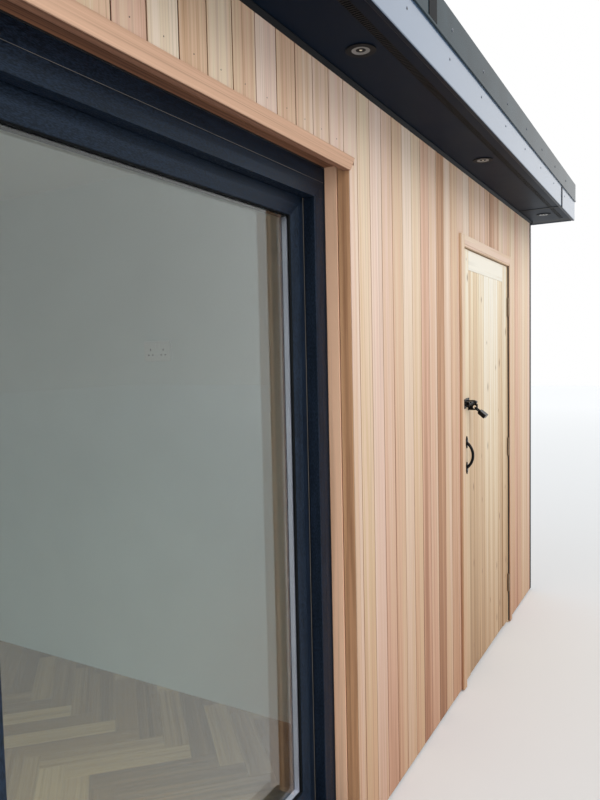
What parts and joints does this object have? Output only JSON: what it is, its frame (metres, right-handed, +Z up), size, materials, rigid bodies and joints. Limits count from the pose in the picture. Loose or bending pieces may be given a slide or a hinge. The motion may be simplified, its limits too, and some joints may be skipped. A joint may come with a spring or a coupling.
{
  "type": "garden office pod",
  "caption": "Cedar clad garden office pod: flat roof with front overhang, sliding glazed patio door, boarded store door, downlights in a dark soffit.",
  "frame": {"origin": "middle of the base of the whole outline, on the ground", "axes": "+X to the right along the front, +Y to the back, +Z up"},
  "size_m": [5.782, 3.169, 2.551],
  "materials": {
    "panel_timber": "sawn timber faced panel",
    "oak_floor": "satin oak blocks in a herringbone",
    "lining_paint": "matt painted board",
    "cedar": "raw red cedar, smooth",
    "cedar_reveal": "raw red cedar, darker boards",
    "pine": "clear coated pine",
    "anthracite": "woodgrain foil, satin",
    "soffit_plastic": "satin foil",
    "fascia_plastic": "satin",
    "cap_plastic": "gloss",
    "black_trim": "satin black",
    "ironmongery": "black powder coat",
    "glazing": "clear double glazing",
    "membrane": "matt roof membrane",
    "light_metal": "brushed",
    "roller_steel": "turned",
    "socket_plastic": "white moulded"
  },
  "bodies": {
    "pod": {"floor_base": "panel_timber", "office_floor": "oak_floor", "front_wall_left": "panel_timber", "front_wall_middle": "panel_timber", "front_wall_right": "panel_timber", "patio_header": "panel_timber", "side_door_header": "panel_timber", "back_wall": "panel_timber", "left_wall": "panel_timber", "right_wall": "panel_timber", "partition_wall": "panel_timber", "wall_linings": "lining_paint", "ceiling": "lining_paint", "cladding_front": "cedar", "cladding_back": "cedar", "cladding_left": "cedar", "cladding_right": "cedar", "corner_trims": "black_trim", "reveal_lining": "cedar_reveal", "patio_head_trim": "cedar_reveal", "patio_cill": "anthracite", "patio_frame_head": "anthracite", "patio_frame_jambs": "anthracite", "patio_frame_sill": "anthracite", "fixed_sash": "anthracite", "fixed_glass": "glazing", "side_door_jambs": "pine", "side_door_head": "pine", "side_door_trim": "cedar", "frame_hinge_leaves": "ironmongery", "bolt_keep": "ironmongery", "wall_socket": "socket_plastic", "roof_panel": "panel_timber", "roof_membrane": "membrane", "front_kerb": "panel_timber", "side_kerbs": "panel_timber", "roof_edge_caps": "cap_plastic", "soffit": "soffit_plastic", "side_soffits": "black_trim", "soffit_wall_trim": "black_trim", "front_fascia": "fascia_plastic", "side_fascias": "fascia_plastic", "back_fascia": "fascia_plastic", "joint_strips": "black_trim", "downlights": "black_trim", "rear_gutter": "black_trim", "downpipe": "black_trim"},
    "patio_sash": {"sliding_sash": "anthracite", "sliding_glass": "glazing", "sash_rollers": "roller_steel", "sash_pull": "anthracite"},
    "store_door": {"door_stiles": "pine", "door_boards": "pine", "door_ledges": "pine", "door_hinge_leaves": "ironmongery", "door_handle": "ironmongery", "bolt_plate": "ironmongery", "padlock": "ironmongery"},
    "door_bolt": {"sliding_bolt": "ironmongery"}
  },
  "joints": [
    {"name": "patio_slide", "type": "slide", "parent": "pod", "child": "patio_sash", "axis": [-1, 0, 0], "range_m": [0, 1.05]},
    {"name": "store_door_hinge", "type": "hinge", "parent": "pod", "child": "store_door", "pos_m": [2.1495, -1.341, 1], "axis": [0, 0, 1], "range_deg": [0, 110]},
    {"name": "bolt_slide", "type": "slide", "parent": "store_door", "child": "door_bolt", "axis": [-1, 0, 0], "range_m": [0, 0.03]}
  ]
}
